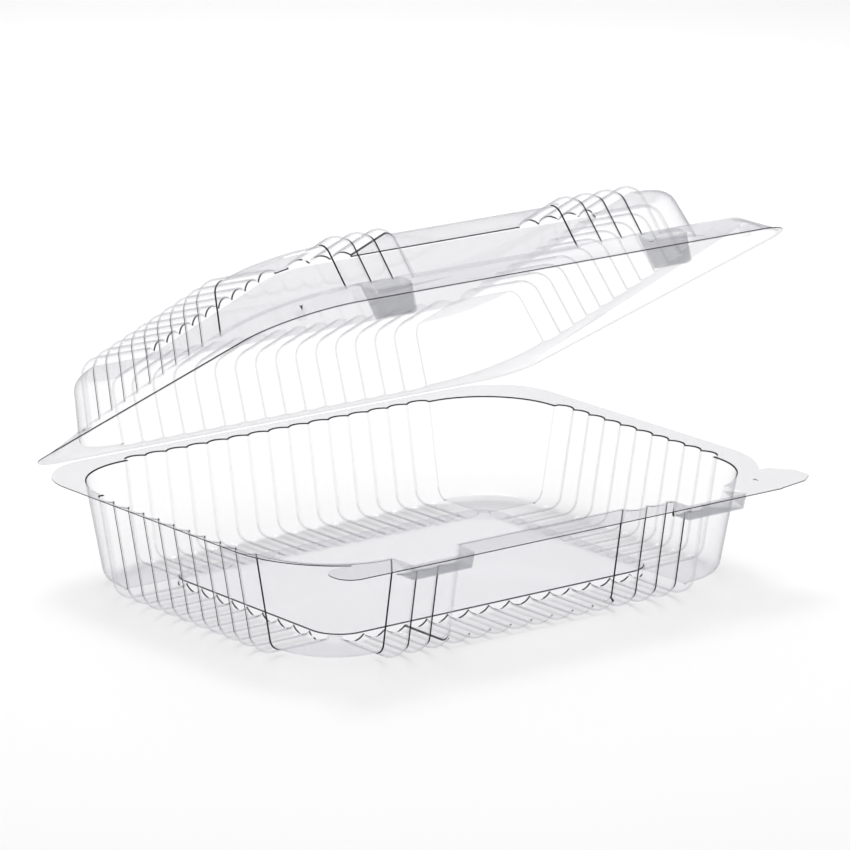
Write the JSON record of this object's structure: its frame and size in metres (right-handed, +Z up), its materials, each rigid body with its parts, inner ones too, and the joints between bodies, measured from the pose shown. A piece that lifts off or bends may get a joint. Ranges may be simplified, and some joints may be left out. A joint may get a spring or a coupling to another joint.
{
  "type": "plastic clamshell pack",
  "caption": "Clear hinged food pack formed from thin plastic sheet: fluted tray and fluted lid joined by a crease along the back, shown part open.",
  "frame": {"origin": "middle of the tray's bottom panel, on its underside", "axes": "+X along the hinge crease to the side with the lifting tab, +Y towards the crease, +Z up"},
  "size_m": [0.2366, 0.1926, 0.149],
  "materials": {
    "clear_sheet": "clear polystyrene sheet, smooth and glossy"
  },
  "bodies": {
    "tray": {"tray": "clear_sheet"},
    "lid": {"lid": "clear_sheet"}
  },
  "joints": [
    {"name": "lid_hinge", "type": "hinge", "parent": "tray", "child": "lid", "pos_m": [0, 0.093, 0.0372], "axis": [-1, 0, 0], "range_deg": [-28.7, 151.3]}
  ]
}
